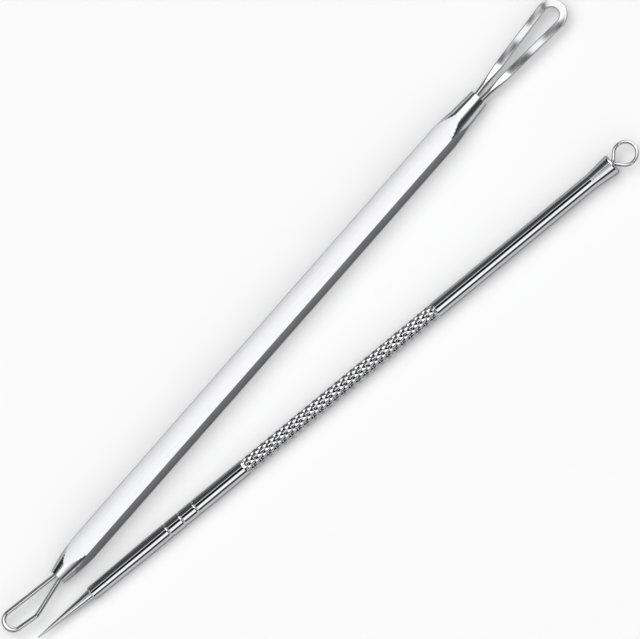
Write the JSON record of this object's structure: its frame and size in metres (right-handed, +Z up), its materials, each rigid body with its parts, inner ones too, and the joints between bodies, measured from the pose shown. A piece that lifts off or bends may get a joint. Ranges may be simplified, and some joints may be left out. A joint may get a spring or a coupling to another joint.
{
  "type": "blackhead extractor",
  "caption": "Slim steel skin tools lying side by side: a square bar with a wire loop in each end, and a knurled round rod with a needle in its nose and a ring at its flared end.",
  "frame": {"origin": "middle of the underside of the square bar, on the surface that both tools lie on", "axes": "+X along the square bar towards its large flat loop, +Z up, away from the surface"},
  "size_m": [0.12, 0.0264, 0.0033],
  "materials": {
    "polished_bar": "mirror-polished stainless steel",
    "loop_wire": "drawn and polished stainless steel wire",
    "turned_rod": "turned, knurled and polished stainless steel",
    "needle_steel": "ground and polished stainless steel",
    "solder": "smooth silver solder"
  },
  "bodies": {
    "loop_tool": {"handle_bar": "polished_bar", "large_loop": "loop_wire", "small_loop": "loop_wire", "large_loop_solder": "solder", "small_loop_solder": "solder"},
    "needle_tool": {"knurled_handle": "turned_rod", "needle": "needle_steel", "ring_loop": "loop_wire", "ring_solder": "solder"}
  },
  "joints": [
    {"name": "needle_tool_lift", "type": "slide", "parent": "loop_tool", "child": "needle_tool", "axis": [0, 0, 1], "range_m": [0, 0.05]}
  ]
}
